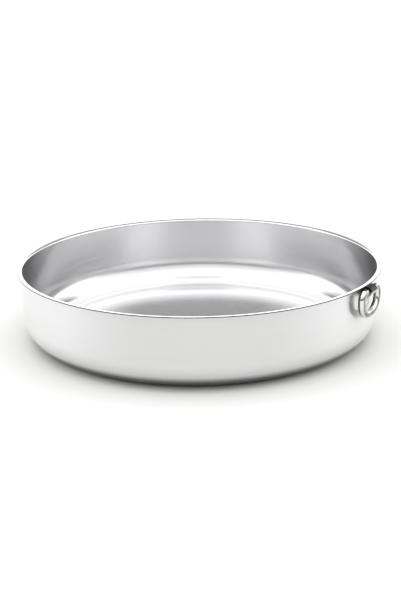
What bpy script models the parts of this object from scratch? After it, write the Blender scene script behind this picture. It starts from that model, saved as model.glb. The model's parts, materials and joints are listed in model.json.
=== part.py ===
"""A round stainless-steel oven pan with a D-shaped hanging ring.

The pan is one drawn shell. A folded strap, spot welded to the wall under the rim, holds the ring, which swings
outwards about its straight bar. Metres, +Z up. The origin is the centre of the base's underside, and the ring
hangs on the +X side.
"""

import math

import bpy

# Driving dimensions: the shell.
RIM_RADIUS = 0.160
HEIGHT = 0.064
SHEET = 0.0008
FLANGE_REACH = 0.0046
BASE_RADIUS_OUTSIDE = 0.024
RIM_BEND_INSIDE = 0.0008

# Driving dimensions: the ring.
ROD_RADIUS = 0.003
RING_HALF_WIDTH = 0.0168
RING_DROP = 0.0198
RING_CORNER = 0.005
RING_SIDE = 0.002
RING_FULLNESS = 2.3

# Driving dimensions: the strap that holds the ring.
STRAP = 0.0008
STRAP_WIDTH = 0.012
STRAP_LEG = 0.013
STRAP_SEAM = 0.0001
STRAP_UNBEND = 0.0012
EYE_CLEARANCE = 0.0004
GAP = 0.0003

# Fineness of the round shapes: the steps in each curve.
SHELL_STEPS = 96
BASE_RADIUS_STEPS = 9
RIM_BEND_STEPS = 4
LIP_STEPS = 4
EYE_STEPS = 32
UNBEND_STEPS = 4
RING_CORNER_STEPS = 6
RING_BOW_STEPS = 12
ROD_BEVEL_RESOLUTION = 6
SHARP_ANGLE = math.radians(35)

# The strap's eye, on the hinge axis of the ring.
EYE_LINE_RADIUS = ROD_RADIUS + EYE_CLEARANCE + STRAP / 2
EYE_OUTER_RADIUS = EYE_LINE_RADIUS + STRAP / 2
WALL_FACE = RIM_RADIUS - FLANGE_REACH + SHEET
HINGE_X = WALL_FACE + GAP + EYE_OUTER_RADIUS
HINGE_Z = HEIGHT - SHEET - GAP - EYE_OUTER_RADIUS


def clear_scene():
    for thing in list(bpy.data.objects):
        bpy.data.objects.remove(thing, do_unlink=True)


def steel(name, colour, roughness):
    """A metallic Principled material."""
    material = bpy.data.materials.new(name)
    material.use_nodes = True
    shader = material.node_tree.nodes["Principled BSDF"]
    shader.inputs["Base Color"].default_value = (*colour, 1)
    shader.inputs["Metallic"].default_value = 1
    shader.inputs["Roughness"].default_value = roughness
    return material


def arc(centre, radius, start, end, steps):
    """Points along an arc in a plane, from one angle to the other, in degrees, both ends included."""
    points = []
    for i in range(steps + 1):
        angle = math.radians(start + (end - start) * i / steps)
        points.append((centre[0] + radius * math.cos(angle), centre[1] + radius * math.sin(angle)))
    return points


def shell_profile():
    """The sheet's section as (radius, height), up the inside, over the rim and down the outside to the axis."""
    wall = RIM_RADIUS - FLANGE_REACH
    bend_outside = RIM_BEND_INSIDE + SHEET
    bend = (wall + bend_outside, HEIGHT - bend_outside)
    corner = (wall + SHEET - BASE_RADIUS_OUTSIDE, BASE_RADIUS_OUTSIDE)
    lip = (RIM_RADIUS - SHEET / 2, HEIGHT - SHEET / 2)
    return [
        (0, SHEET),
        *arc(corner, BASE_RADIUS_OUTSIDE - SHEET, -90, 0, BASE_RADIUS_STEPS),
        *arc(bend, bend_outside, 180, 90, RIM_BEND_STEPS),
        *arc(lip, SHEET / 2, 90, -90, LIP_STEPS),
        *arc(bend, RIM_BEND_INSIDE, 90, 180, RIM_BEND_STEPS),
        *arc(corner, BASE_RADIUS_OUTSIDE, 0, -90, BASE_RADIUS_STEPS),
        (0, 0),
    ]


def pan_shell(material):
    """The drawn pan: its section turned about the Z axis."""
    profile = shell_profile()
    mesh = bpy.data.meshes.new("pan_shell")
    edges = [(i, i + 1) for i in range(len(profile) - 1)]
    mesh.from_pydata([(radius, 0, height) for radius, height in profile], edges, [])
    mesh.materials.append(material)
    shell = bpy.data.objects.new("pan_shell", mesh)
    bpy.context.collection.objects.link(shell)
    turn = shell.modifiers.new("turn", "SCREW")
    turn.steps = SHELL_STEPS
    turn.render_steps = SHELL_STEPS
    turn.use_merge_vertices = True
    turn.merge_threshold = 0.00001
    turn.use_smooth_shade = True
    return shell


def strap_line():
    """The middle of the strap's section as (x, z): up the inner leg, round the eye and down the outer leg."""
    eye = (HINGE_X, HINGE_Z)
    inner_leg = HINGE_X - EYE_LINE_RADIUS
    outer_leg = inner_leg + STRAP + STRAP_SEAM
    foot = HINGE_Z - STRAP_LEG
    across = outer_leg + STRAP_UNBEND - HINGE_X
    reach = EYE_LINE_RADIUS + STRAP_UNBEND
    down = math.sqrt(reach**2 - across**2)
    leaves_eye = math.degrees(math.atan2(-down, across))
    unbend = (HINGE_X + across, HINGE_Z - down)
    return [
        (inner_leg, foot),
        *arc(eye, EYE_LINE_RADIUS, 180, leaves_eye, EYE_STEPS),
        *arc(unbend, STRAP_UNBEND, leaves_eye + 180, 180, UNBEND_STEPS)[1:],
        (outer_leg, foot),
    ]


def ring_clip(material):
    """The strap: its line extruded across its width, and thickened."""
    line = strap_line()
    half = STRAP_WIDTH / 2
    points = [(x, side * half, z) for side in (-1, 1) for x, z in line]
    count = len(line)
    faces = [(i, i + 1, count + i + 1, count + i) for i in range(count - 1)]
    mesh = bpy.data.meshes.new("ring_clip")
    mesh.from_pydata(points, [], faces)
    mesh.materials.append(material)
    clip = bpy.data.objects.new("ring_clip", mesh)
    bpy.context.collection.objects.link(clip)
    thicken = clip.modifiers.new("thicken", "SOLIDIFY")
    thicken.thickness = STRAP
    thicken.offset = 0
    thicken.use_even_offset = True
    mesh.shade_smooth()
    mesh.set_sharp_from_angle(angle=SHARP_ANGLE)
    return clip


def ring_line():
    """The middle of the rod as (y, z) from the hinge axis: the straight bar, two corners and the full bow."""
    flat = RING_HALF_WIDTH - RING_CORNER
    bow_top = -RING_CORNER - RING_SIDE
    bow_drop = RING_DROP + bow_top
    right = arc((flat, -RING_CORNER), RING_CORNER, 90, 0, RING_CORNER_STEPS)
    for i in range(RING_BOW_STEPS):
        angle = math.pi / 2 * i / RING_BOW_STEPS
        y = RING_HALF_WIDTH * math.cos(angle) ** (2 / RING_FULLNESS)
        z = bow_top - bow_drop * math.sin(angle) ** (2 / RING_FULLNESS)
        right.append((y, z))
    left = [(-y, z) for y, z in reversed(right)]
    return [*right, (0, -RING_DROP), *left]


def hanging_ring(material):
    """The ring, with its origin on the hinge axis."""
    curve = bpy.data.curves.new("hanging_ring", "CURVE")
    curve.dimensions = "3D"
    curve.bevel_depth = ROD_RADIUS
    curve.bevel_resolution = ROD_BEVEL_RESOLUTION
    curve.materials.append(material)
    points = ring_line()
    spline = curve.splines.new("POLY")
    spline.points.add(len(points) - 1)
    for point, (y, z) in zip(spline.points, points):
        point.co = (0, y, z, 1)
    spline.use_cyclic_u = True
    spline.use_smooth = True
    ring = bpy.data.objects.new("hanging_ring", curve)
    ring.location = (HINGE_X, 0, HINGE_Z)
    bpy.context.collection.objects.link(ring)
    return ring


def main():
    clear_scene()
    pan_shell(steel("satin_steel", (0.62, 0.62, 0.61), 0.28))
    ring_clip(steel("strap_steel", (0.45, 0.45, 0.44), 0.25))
    hanging_ring(steel("polished_steel", (0.68, 0.67, 0.65), 0.08))


main()
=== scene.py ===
import json
import math

import bpy
import numpy as np
from mathutils import Matrix, Vector


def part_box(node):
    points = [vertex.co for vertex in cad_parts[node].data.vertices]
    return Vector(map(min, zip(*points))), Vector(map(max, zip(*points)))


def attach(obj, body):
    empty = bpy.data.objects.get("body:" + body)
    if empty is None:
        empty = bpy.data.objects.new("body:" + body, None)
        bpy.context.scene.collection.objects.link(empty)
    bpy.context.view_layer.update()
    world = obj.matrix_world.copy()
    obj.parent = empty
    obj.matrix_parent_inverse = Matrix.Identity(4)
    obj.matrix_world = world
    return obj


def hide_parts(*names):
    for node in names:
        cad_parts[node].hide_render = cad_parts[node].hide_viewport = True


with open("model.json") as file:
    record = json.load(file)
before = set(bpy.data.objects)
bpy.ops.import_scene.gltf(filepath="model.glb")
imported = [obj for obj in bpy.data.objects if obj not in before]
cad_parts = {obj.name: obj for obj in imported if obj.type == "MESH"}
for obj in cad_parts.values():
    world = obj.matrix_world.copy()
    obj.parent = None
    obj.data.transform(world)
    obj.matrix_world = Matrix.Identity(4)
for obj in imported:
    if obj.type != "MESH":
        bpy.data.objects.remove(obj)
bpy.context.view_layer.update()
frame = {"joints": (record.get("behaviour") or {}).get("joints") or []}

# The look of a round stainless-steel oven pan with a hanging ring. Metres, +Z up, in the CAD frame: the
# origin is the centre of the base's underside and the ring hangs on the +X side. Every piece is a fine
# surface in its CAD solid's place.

# Sizes read from the CAD frame.
SHELL_LOW, SHELL_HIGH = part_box("pan_shell")
CLIP_LOW, CLIP_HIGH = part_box("ring_clip")
RING_LOW, RING_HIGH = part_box("hanging_ring")
HINGE = Vector(frame["joints"][0]["pos_m"])
RIM_RADIUS = SHELL_HIGH.x
HEIGHT = SHELL_HIGH.z

# The sheet and its bends.
SHEET = 0.0008
FLANGE_REACH = 0.0046
BASE_RADIUS_OUTSIDE = 0.024
RIM_BEND_INSIDE = 0.0008
FLANGE_RISE = math.radians(5)

# The ring.
ROD_RADIUS = (RING_HIGH.x - RING_LOW.x) / 2
RING_HALF_WIDTH = RING_HIGH.y - ROD_RADIUS
RING_DROP = HINGE.z - RING_LOW.z - ROD_RADIUS
RING_CORNER = 0.005
RING_SIDE = 0.002
RING_FULLNESS = 2.3
BUTT_GAP = 0.00015

# The strap round the ring's bar.
STRAP = 0.0008
STRAP_SEAM = 0.0001
STRAP_UNBEND = 0.0012
STRAP_EDGE = 0.00022
EYE_LINE_RADIUS = (CLIP_HIGH.z - HINGE.z) - STRAP / 2
WELD_RADIUS = 0.0019
WELD_DEPTH = 0.00022
WELD_SPREAD = 0.0028
WELD_HEIGHT = 0.0038

# Fineness: the steps in each curve, the points along each straight, and how far beyond a bend a point is
# held so that flats stay flat.
SHELL_STEPS = 360
BASE_RADIUS_STEPS = 20
RIM_BEND_STEPS = 10
LIP_STEPS = 12
LEG_POINTS = 30
EYE_STEPS = 72
UNBEND_STEPS = 10
STRAP_POINTS_ACROSS = 49
STRAP_EDGE_STEPS = 4
ROD_SIDES = 40
BAR_POINTS = 12
RING_CORNER_STEPS = 12
RING_SIDE_POINTS = 4
RING_BOW_POINTS = 33
HOLD = 0.0005
SAME_POINT = 1e-9

# The drawn sheet's look: its roughness on the glossy base and rim, and what the wall and the outside add.
# Every pair of places in this file is where a change begins and where it is complete.
GLOSS = (0.07, 0.15)
CLOUDING = 0.012
WALL_ROUGHER = 0.11
OUTSIDE_ROUGHER = 0.16
WALL_STARTS = (0.002, 0.02)
FLANGE_STARTS = (RIM_RADIUS - FLANGE_REACH + 0.001, RIM_RADIUS - FLANGE_REACH + 0.0015)
SHEET_TONES = ((0.735, 0.735, 0.745, 1), (0.755, 0.755, 0.765, 1))
# Painted shade: the rounded lip at the rim is near black, a line standing in for the shade along the rim's
# edge.
LIP_SHADE_STARTS = (RIM_RADIUS - 0.0005, RIM_RADIUS - 0.0004)
LIP_SHADE_TONE = 0.04
# Painted shade: the outside of the foot is darkened towards the floor, standing in for the contact shadow
# reflected in the base's rounded corner.
FOOT_SHADE_FADES = (0.007, 0.0125)
FOOT_SHADE_SHARE = 0.3

# The strap's look: above a height it is painted black, as painted shade in the crevice under the rim.
STRAP_TONES = (0.6, 0.68)
CREVICE_SHADE_STARTS = (HINGE.z - 0.0012, HINGE.z + 0.0006)
CREVICE_SHADE_TONE = 0.02

# The ring's look: its painted reflection and painted shade go by how far a face turns outwards, from 1 (away
# from the wall) to -1.
RUBBED_TONES = ((0.74, 0.73, 0.71, 1), (0.84, 0.83, 0.81, 1))
# Painted reflection: the face turned away from the wall is dark brown, standing in for a dark line reflected
# along the rod.
OUTWARD_REFLECTION_STARTS = (0.66, 0.88)
OUTWARD_REFLECTION_TONE = (0.2, 0.165, 0.14, 1)
# Painted shade: a band of the faces turned towards the wall is near black, where shade falls in the gap
# between rod and wall.
WALLWARD_SHADE_STARTS = (0.02, -0.3)
WALLWARD_SHADE_ENDS = (-0.7, -0.8)
WALLWARD_SHADE_TONE = 0.03

# Camera: where it stands and how it is turned, about the pan's axis.
CAMERA_AZIMUTH = math.radians(30.3)
CAMERA_DISTANCE = 0.928
CAMERA_HEIGHT = 0.3217
CAMERA_PITCH = 0.3081
CAMERA_ROLL = -0.0168
CAMERA_YAW = 0.0005
CAMERA_LENS = 65.05
CAMERA_SENSOR = 36

# Light: how bright the tent is, and the share of that which each of its parts gives. Tops and bottoms are
# sines of elevations. Other places are cosines of the angle from the camera's side.
SIDE_GLOW = 1.52
TOP_GLOW = 2.0
GLOW_BOTTOM = (0.5, 0.85)
CROWN_SHARE = 0.55
CROWN_BOTTOM = (0.97, 0.99)
FLANK_SHARE = 1.3
FLANK_STARTS = (0.25, 0)
FLANK_TOP = (0.3, 0.5)
FRONT_SHARE = 0.7
FRONT_STARTS = (math.cos(math.radians(88)), math.cos(math.radians(44)))
FRONT_TOP = (0.65, 0.87)
OPENING_SHARE = 0.18
OPENING_TOP = (0.33, 0.37)
GAP_SHARE = 0.1
GAP_STARTS = (-0.5, -0.8)
GAP_BOTTOM = (0.3, 0.36)
GAP_TOP = (0.65, 0.75)

# Floor.
FLOOR_HALF = 6.0
FLOOR_GAP = 0.0002


# ---- shapes ----------------------------------------------------------------------------------------------


def arc(centre, radius, start, end, steps):
    """Points along an arc in a plane, from one angle to the other, in degrees, both ends included."""
    angles = np.radians(np.linspace(start, end, steps + 1))
    return [(centre[0] + radius * math.cos(a), centre[1] + radius * math.sin(a)) for a in angles]


def with_holds(runs):
    """The runs joined, with a point held just beyond each bend, so that flats stay flat when shaded."""
    points = list(runs[0])
    for run in runs[1:]:
        a, b = Vector(points[-1]), Vector(run[0])
        length = (b - a).length
        if length > 3 * HOLD:
            points.append(tuple(a.lerp(b, HOLD / length)))
            points.append(tuple(b.lerp(a, HOLD / length)))
        start = 1 if length < SAME_POINT else 0
        points.extend(run[start:])
    return points


def piece(name, points, faces, material, body, node):
    """A smooth-shaded mesh that stands for one CAD node."""
    mesh = bpy.data.meshes.new(name)
    mesh.from_pydata([tuple(p) for p in points], [], faces)
    mesh.shade_smooth()
    mesh.materials.append(material)
    made = bpy.data.objects.new(name, mesh)
    bpy.context.collection.objects.link(made)
    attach(made, body)
    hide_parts(node)
    return made


def turned(profile, steps):
    """A section turned about the Z axis. Its first and last points lie on the axis."""
    points = [(0, 0, profile[0][1])]
    inner = profile[1:-1]
    for k in range(steps):
        angle = 2 * math.pi * k / steps
        points.extend((r * math.cos(angle), r * math.sin(angle), z) for r, z in inner)
    points.append((0, 0, profile[-1][1]))
    count, last = len(inner), len(points) - 1
    faces = []
    for k in range(steps):
        a, b = 1 + k * count, 1 + (k + 1) % steps * count
        faces.append((0, a, b))
        faces.extend((a + i, a + i + 1, b + i + 1, b + i) for i in range(count - 1))
        faces.append((a + count - 1, last, b + count - 1))
    return points, faces


def swept(sections):
    """Faces between rings of points, each ring joined to the next, with a cap at both ends."""
    count, rings = len(sections[0]), len(sections)
    points = [p for section in sections for p in section]
    faces = []
    for k in range(rings - 1):
        a, b = k * count, (k + 1) * count
        faces.extend((a + i, a + (i + 1) % count, b + (i + 1) % count, b + i) for i in range(count))
    faces.append(tuple(reversed(range(count))))
    faces.append(tuple(range((rings - 1) * count, rings * count)))
    return points, faces


def left_of(line):
    """The unit vector to the left of a plane line at each of its points."""
    along = np.gradient(line, axis=0)
    along /= np.linalg.norm(along, axis=1)[:, None]
    return np.stack([-along[:, 1], along[:, 0]], axis=1)


def shell_profile():
    """The sheet's section as (radius, height): up the inside, over the rim and down the outside."""
    wall = RIM_RADIUS - FLANGE_REACH
    base = BASE_RADIUS_OUTSIDE
    rise = math.degrees(FLANGE_RISE)
    lip = Vector((RIM_RADIUS - SHEET / 2, HEIGHT - SHEET / 2))
    bend_outside = RIM_BEND_INSIDE + SHEET
    bend_middle = RIM_BEND_INSIDE + SHEET / 2
    bend_x = wall + bend_outside
    run = lip.x - bend_x + bend_middle * math.sin(FLANGE_RISE)
    bend = (bend_x, lip.y - run * math.tan(FLANGE_RISE) - bend_middle * math.cos(FLANGE_RISE))
    corner = (wall + SHEET - base, base)
    return with_holds([
        [(0, SHEET)],
        arc(corner, base - SHEET, -90, 0, BASE_RADIUS_STEPS),
        arc(bend, bend_outside, 180, 90 + rise, RIM_BEND_STEPS),
        arc(lip, SHEET / 2, 90 + rise, rise - 90, LIP_STEPS),
        arc(bend, RIM_BEND_INSIDE, 90 + rise, 180, RIM_BEND_STEPS),
        arc(corner, base, 0, -90, BASE_RADIUS_STEPS),
        [(0, 0)],
    ])


def strap_line():
    """The middle of the strap's section as (x, z): up the inner leg, round the eye and down the outer leg."""
    inner_leg = HINGE.x - EYE_LINE_RADIUS
    outer_leg = inner_leg + STRAP + STRAP_SEAM
    foot = CLIP_LOW.z
    across = outer_leg + STRAP_UNBEND - HINGE.x
    reach = EYE_LINE_RADIUS + STRAP_UNBEND
    down = math.sqrt(reach**2 - across**2)
    leaves_eye = math.degrees(math.atan2(-down, across))
    unbend = (HINGE.x + across, HINGE.z - down)
    inner = [(inner_leg, z) for z in np.linspace(foot, HINGE.z, LEG_POINTS)]
    eye = arc((HINGE.x, HINGE.z), EYE_LINE_RADIUS, 180, leaves_eye, EYE_STEPS)[1:]
    back = arc(unbend, STRAP_UNBEND, leaves_eye + 180, 180, UNBEND_STEPS)[1:]
    outer = [(outer_leg, z) for z in np.linspace(unbend[1], foot, LEG_POINTS)][1:]
    return np.array(inner + eye + back + outer)


def strap_section():
    """The strap's cross section as (offset from its middle, y), with rounded edges, counter-clockwise."""
    half = (CLIP_HIGH.y - CLIP_LOW.y) / 2
    thick = STRAP / 2
    edge = STRAP_EDGE
    steps = STRAP_EDGE_STEPS
    across = np.linspace(-half + edge, half - edge, STRAP_POINTS_ACROSS)
    points = [(thick, y) for y in across]
    points += [(u, y) for y, u in arc((half - edge, thick - edge), edge, 90, 0, steps)][1:]
    points += [(u, y) for y, u in arc((half - edge, edge - thick), edge, 0, -90, steps)]
    points += [(-thick, y) for y in across[::-1]][1:]
    points += [(u, y) for y, u in arc((edge - half, edge - thick), edge, -90, -180, steps)][1:]
    points += [(u, y) for y, u in arc((edge - half, thick - edge), edge, 180, 90, steps)][:-1]
    return points


def dent(y, z):
    """How far the spot welds have pressed the outer leg in: less towards the edge of each."""
    away = math.hypot(abs(y) - WELD_SPREAD, z - CLIP_LOW.z - WELD_HEIGHT)
    return WELD_DEPTH * max(0, min(1, 2 * (1 - away / WELD_RADIUS)))


def ring_clip(material):
    """The folded strap, with two spot welds pressed into its outer leg."""
    line = strap_line()
    sections = []
    for (x, z), (out_x, out_z) in zip(line, left_of(line)):
        section = []
        for offset, y in strap_section():
            point = Vector((x + offset * out_x, y, z + offset * out_z))
            if offset > 0 and out_x > 0:
                point.x -= dent(y, z)
            section.append(point)
        sections.append(section)
    points, faces = swept(sections)
    piece("strap", points, faces, material, "pan", "ring_clip")


def ring_line():
    """The middle of the rod as (y, z) from the hinge axis, from the middle of the bar round to it again."""
    flat = RING_HALF_WIDTH - RING_CORNER
    bow_top = -RING_CORNER - RING_SIDE
    bow_drop = RING_DROP + bow_top
    right = [(y, 0) for y in np.linspace(BUTT_GAP / 2, flat, BAR_POINTS)]
    right += arc((flat, -RING_CORNER), RING_CORNER, 90, 0, RING_CORNER_STEPS)[1:]
    right += [(RING_HALF_WIDTH, z) for z in np.linspace(-RING_CORNER, bow_top, RING_SIDE_POINTS)[1:-1]]
    for angle in np.linspace(0, math.pi / 2, RING_BOW_POINTS)[:-1]:
        y = RING_HALF_WIDTH * math.cos(angle) ** (2 / RING_FULLNESS)
        z = bow_top - bow_drop * math.sin(angle) ** (2 / RING_FULLNESS)
        right.append((y, z))
    left = [(-y, z) for y, z in reversed(right)]
    return np.array([*right, (0, -RING_DROP), *left])


def hanging_ring(material):
    """The bent rod, butted at the middle of its bar, inside the strap."""
    line = ring_line()
    turn = np.linspace(0, 2 * math.pi, ROD_SIDES, endpoint=False)
    sections = []
    for (y, z), (out_y, out_z) in zip(line, left_of(line)):
        sections.append([
            HINGE + Vector((
                ROD_RADIUS * math.cos(t),
                y + ROD_RADIUS * math.sin(t) * out_y,
                z + ROD_RADIUS * math.sin(t) * out_z,
            ))
            for t in turn
        ])
    points, faces = swept(sections)
    piece("ring", points, faces, material, "ring", "hanging_ring")


def is_outside(radius, height):
    """Whether a point of the shell lies on its outer surface, below the rim."""
    wall_face = RIM_RADIUS - FLANGE_REACH + SHEET
    base = BASE_RADIUS_OUTSIDE
    if height > base:
        return radius > wall_face - SHEET / 2 and height < HEIGHT - 2 * SHEET
    if radius > wall_face - base:
        return math.hypot(radius - wall_face + base, height - base) > base - SHEET / 2
    return height < SHEET / 2


def pan_shell(material):
    """The drawn pan. Its attribute "outside" is 1 on the outer surface, for the material."""
    points, faces = turned(shell_profile(), SHELL_STEPS)
    made = piece("shell", points, faces, material, "pan", "pan_shell")
    outside = made.data.attributes.new("outside", "FLOAT", "POINT")
    for vertex, value in zip(made.data.vertices, outside.data):
        value.value = is_outside(vertex.co.xy.length, vertex.co.z)


# ---- materials -------------------------------------------------------------------------------------------


def node(tree, kind, inputs=(), **settings):
    """A shader node. An input's value is a number, a colour or another node's output."""
    made = tree.nodes.new("ShaderNode" + kind)
    for name, value in settings.items():
        setattr(made, name, value)
    for socket, value in dict(inputs).items():
        if isinstance(value, bpy.types.NodeSocket):
            tree.links.new(value, made.inputs[socket])
        else:
            made.inputs[socket].default_value = value
    return made


def remap(tree, value, low, high, to_low, to_high):
    made = node(tree, "MapRange", {"Value": value, "From Min": low, "From Max": high})
    made.inputs["To Min"].default_value = to_low
    made.inputs["To Max"].default_value = to_high
    return made.outputs["Result"]


def rise(tree, value, ends):
    """0 before the first of two values, and 1 beyond the second."""
    return remap(tree, value, ends[0], ends[1], 0, 1)


def fall(tree, value, ends):
    """1 before the first of two values, and 0 beyond the second."""
    return remap(tree, value, ends[0], ends[1], 1, 0)


def times(tree, a, b):
    return node(tree, "Math", {0: a, 1: b}, operation="MULTIPLY").outputs["Value"]


def plus(tree, a, b):
    return node(tree, "Math", {0: a, 1: b}, operation="ADD").outputs["Value"]


def mixed(tree, factor, first, second, blend="MIX"):
    """One colour mixed with another. Each is a colour or another node's output."""
    mix = node(tree, "Mix", {"Factor": factor, "A": first, "B": second}, data_type="RGBA", blend_type=blend)
    return mix.outputs["Result"]


def grey(value):
    return (value, value, value, 1)


def place_in(tree):
    """The place on the piece, in the CAD frame."""
    return node(tree, "TexCoord").outputs["Object"]


def new_material(name):
    material = bpy.data.materials.new(name)
    material.use_nodes = True
    return material, material.node_tree, material.node_tree.nodes["Principled BSDF"]


def satin_steel():
    """Drawn sheet, polished in circles: glossy on its base and rim, satin elsewhere, with painted shade
    darkening the outside of its foot.
    """
    material, tree, shader = new_material("satin_steel")
    place = place_in(tree)
    flat = node(tree, "VectorMath", {0: place, 1: (1, 1, 0)}, operation="MULTIPLY").outputs["Vector"]
    radius = node(tree, "VectorMath", {0: flat}, operation="LENGTH").outputs["Value"]
    facing = node(tree, "VectorMath", {0: flat}, operation="NORMALIZE").outputs["Vector"]
    height = node(tree, "SeparateXYZ", {0: place}).outputs["Z"]
    along_section = plus(tree, radius, height)
    outer = node(tree, "Attribute", attribute_name="outside").outputs["Fac"]

    def streaks(turns, per_metre, detail):
        """Noise drawn out round the axis: turns sets how short its streaks are, per_metre how close."""
        lift = node(tree, "CombineXYZ", {"Z": times(tree, along_section, per_metre)}).outputs["Vector"]
        around = node(tree, "VectorMath", {0: facing, "Scale": turns}, operation="SCALE").outputs["Vector"]
        where = node(tree, "VectorMath", {0: around, 1: lift}, operation="ADD").outputs["Vector"]
        noise = node(tree, "TexNoise", {"Vector": where, "Scale": 1.0, "Detail": detail})
        return noise.outputs["Fac"]

    fine = streaks(turns=5, per_metre=9000, detail=0)
    broad = streaks(turns=2.5, per_metre=260, detail=3)
    cloud = node(tree, "TexNoise", {"Vector": place, "Scale": 16.0, "Detail": 2.0}).outputs["Fac"]
    polish = remap(tree, fine, 0.4, 0.65, *GLOSS)
    clouded = plus(tree, polish, remap(tree, cloud, 0.3, 0.7, -CLOUDING, CLOUDING))
    on_wall = times(tree, fall(tree, radius, FLANGE_STARTS), rise(tree, height, WALL_STARTS))
    inside = plus(tree, clouded, times(tree, on_wall, WALL_ROUGHER))
    tree.links.new(plus(tree, inside, times(tree, outer, OUTSIDE_ROUGHER)), shader.inputs["Roughness"])

    clean = mixed(tree, broad, *SHEET_TONES)
    # Painted shade: the rim's lip is made near black, a shade line along its edge.
    lip_shaded = mixed(tree, rise(tree, radius, LIP_SHADE_STARTS), clean, grey(LIP_SHADE_TONE))
    # Painted shade: the outside near the foot is darkened, standing in for the contact shadow reflected
    # there.
    foot_shaded = mixed(tree, 1.0, lip_shaded, grey(FOOT_SHADE_SHARE), "MULTIPLY")
    foot_shade = times(tree, outer, fall(tree, height, FOOT_SHADE_FADES))
    tree.links.new(mixed(tree, foot_shade, lip_shaded, foot_shaded), shader.inputs["Base Color"])

    bump = node(tree, "Bump", {"Height": fine, "Strength": 0.1, "Distance": 0.0000005})
    tree.links.new(bump.outputs["Normal"], shader.inputs["Normal"])
    tangent = node(tree, "Tangent", direction_type="RADIAL", axis="Z")
    tree.links.new(tangent.outputs["Tangent"], shader.inputs["Tangent"])
    shader.inputs["Metallic"].default_value = 1
    shader.inputs["Anisotropic"].default_value = 0.7
    shader.inputs["Anisotropic Rotation"].default_value = 0.25
    return material


def marked_steel(name, roughness, stretch, bump_height):
    """Steel with fine marks in its roughness. Stretch is how close they lie along each axis."""
    material, tree, shader = new_material(name)
    drawn = node(tree, "VectorMath", {0: place_in(tree), 1: stretch}, operation="MULTIPLY").outputs["Vector"]
    marks = node(tree, "TexNoise", {"Vector": drawn, "Scale": 1.0, "Detail": 3.0}).outputs["Fac"]
    tree.links.new(remap(tree, marks, 0.3, 0.7, *roughness), shader.inputs["Roughness"])
    bump = node(tree, "Bump", {"Height": marks, "Strength": 0.3, "Distance": bump_height})
    tree.links.new(bump.outputs["Normal"], shader.inputs["Normal"])
    shader.inputs["Metallic"].default_value = 1
    return material, tree, shader, marks


def strap_steel():
    """Rolled strip, painted black above a height: painted shade in the crevice under the rim."""
    material, tree, shader, marks = marked_steel(
        "strap_steel", roughness=(0.25, 0.35), stretch=(200, 3000, 200), bump_height=0.000004)
    height = node(tree, "SeparateXYZ", {0: place_in(tree)}).outputs["Z"]
    clean = mixed(tree, marks, grey(STRAP_TONES[0]), grey(STRAP_TONES[1]))
    # Painted shade: the strap is near black above a height, where shade falls under the rim.
    crevice_shade = rise(tree, height, CREVICE_SHADE_STARTS)
    tree.links.new(mixed(tree, crevice_shade, clean, grey(CREVICE_SHADE_TONE)), shader.inputs["Base Color"])
    return material


def polished_steel():
    """Bright rod, with a painted dark brown reflection on the face away from the wall and painted black shade
    in a band behind its edge.
    """
    material, tree, shader, marks = marked_steel(
        "polished_steel", roughness=(0.07, 0.12), stretch=(500, 500, 500), bump_height=0.000002)
    outwards = node(tree, "SeparateXYZ", {0: node(tree, "TexCoord").outputs["Normal"]}).outputs["X"]
    patches = node(tree, "TexNoise", {"Vector": place_in(tree), "Scale": 150.0, "Detail": 3.0}).outputs["Fac"]
    rubbed = mixed(tree, marks, *RUBBED_TONES)
    # Painted reflection: a dark brown line on the face turned away from the wall.
    outward_reflection = times(tree, rise(tree, outwards, OUTWARD_REFLECTION_STARTS), remap(tree, patches, 0.4, 0.6, 0.75, 1))
    with_outward_reflection = mixed(tree, outward_reflection, rubbed, OUTWARD_REFLECTION_TONE)
    # Painted shade: near black on the faces turned towards the wall.
    shade_band = times(tree, rise(tree, outwards, WALLWARD_SHADE_STARTS), fall(tree, outwards, WALLWARD_SHADE_ENDS))
    wallward_shade = times(tree, shade_band, remap(tree, patches, 0.4, 0.5, 0.85, 1))
    tree.links.new(mixed(tree, wallward_shade, with_outward_reflection, grey(WALLWARD_SHADE_TONE)), shader.inputs["Base Color"])
    return material


def floor_white():
    material, _, shader = new_material("floor_white")
    shader.inputs["Base Color"].default_value = (0.78, 0.785, 0.76, 1)
    shader.inputs["Roughness"].default_value = 0.8
    shader.inputs["Specular IOR Level"].default_value = 0.2
    return material


# ---- stage -----------------------------------------------------------------------------------------------


def floor():
    """A wide white table under the pan."""
    half = FLOOR_HALF
    corners = [(-half, -half, 0), (half, -half, 0), (half, half, 0), (-half, half, 0)]
    mesh = bpy.data.meshes.new("floor")
    mesh.from_pydata(corners, [], [(0, 1, 2, 3)])
    mesh.materials.append(floor_white())
    made = bpy.data.objects.new("floor", mesh)
    made.location.z = SHELL_LOW.z - FLOOR_GAP
    bpy.context.collection.objects.link(made)


def towards_camera():
    """Level unit vector from the pan's axis to the camera."""
    return Vector((math.sin(CAMERA_AZIMUTH), -math.cos(CAMERA_AZIMUTH), 0))


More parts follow.
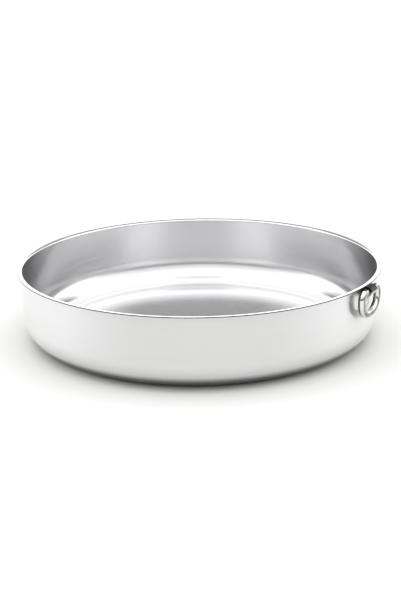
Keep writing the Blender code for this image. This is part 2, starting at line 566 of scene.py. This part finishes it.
def tent():
    """A white light tent.

    It is brighter high up, as far as a dimmer crown, and low down beside and behind the pan. It is dimmer on
    the camera's side. Two parts are dark: an opening low on that side, and a gap on the side across from it.
    The backdrop seen directly is plain white.
    """
    world = bpy.data.worlds.new("tent")
    bpy.context.scene.world = world
    world.use_nodes = True
    tree = world.node_tree
    tree.nodes.clear()
    way = node(tree, "TexCoord").outputs["Generated"]
    up = node(tree, "SeparateXYZ", {0: way}).outputs["Z"]
    level = node(tree, "VectorMath", {0: way, 1: (1, 1, 0)}, operation="MULTIPLY").outputs["Vector"]
    heading = node(tree, "VectorMath", {0: level}, operation="NORMALIZE").outputs["Vector"]
    turned_to = node(tree, "VectorMath", {0: heading, 1: towards_camera()}, operation="DOT_PRODUCT")
    facing = turned_to.outputs["Value"]

    in_front = rise(tree, facing, FRONT_STARTS)
    beside = rise(tree, facing, FLANK_STARTS)
    across = rise(tree, facing, GAP_STARTS)
    gap_band = times(tree, rise(tree, up, GAP_BOTTOM), fall(tree, up, GAP_TOP))
    parts = [
        (times(tree, beside, fall(tree, up, FLANK_TOP)), FLANK_SHARE),
        (times(tree, across, gap_band), GAP_SHARE),
        (rise(tree, up, CROWN_BOTTOM), CROWN_SHARE),
        (times(tree, in_front, fall(tree, up, FRONT_TOP)), FRONT_SHARE),
        (times(tree, in_front, fall(tree, up, OPENING_TOP)), OPENING_SHARE),
    ]
    glow = remap(tree, up, *GLOW_BOTTOM, SIDE_GLOW, TOP_GLOW)
    for part, share in parts:
        glow = times(tree, glow, remap(tree, part, 0, 1, 1, share))

    light = node(tree, "Background", {"Color": grey(1), "Strength": glow}).outputs["Background"]
    backdrop = node(tree, "Background", {"Color": grey(1), "Strength": SIDE_GLOW}).outputs["Background"]
    seen = node(tree, "LightPath").outputs["Is Camera Ray"]
    surface = node(tree, "MixShader", {0: seen, 1: light, 2: backdrop}).outputs["Shader"]
    node(tree, "OutputWorld", {"Surface": surface})


def camera():
    """Looks across the pan from above its front, a little turned and rolled."""
    data = bpy.data.cameras.new("camera")
    data.lens = CAMERA_LENS
    data.sensor_width = CAMERA_SENSOR
    level = math.cos(CAMERA_YAW) * math.cos(CAMERA_PITCH)
    ahead = Vector((math.sin(CAMERA_YAW), level, -math.sin(CAMERA_PITCH))).normalized()
    right = ahead.cross(Vector((0, 0, 1))).normalized()
    up = right.cross(ahead)
    right_rolled = right * math.cos(CAMERA_ROLL) + up * math.sin(CAMERA_ROLL)
    up_rolled = up * math.cos(CAMERA_ROLL) - right * math.sin(CAMERA_ROLL)
    turn = Matrix.Rotation(CAMERA_AZIMUTH, 4, "Z")
    stand = Matrix((right_rolled, up_rolled, -ahead)).transposed().to_4x4()
    stand.translation = (0, -CAMERA_DISTANCE, CAMERA_HEIGHT)
    made = bpy.data.objects.new("camera", data)
    made.matrix_world = turn @ stand
    bpy.context.collection.objects.link(made)
    bpy.context.scene.camera = made


def main():
    pan_shell(satin_steel())
    ring_clip(strap_steel())
    hanging_ring(polished_steel())
    floor()
    tent()
    camera()
    bpy.context.scene.view_settings.view_transform = "Standard"


main()
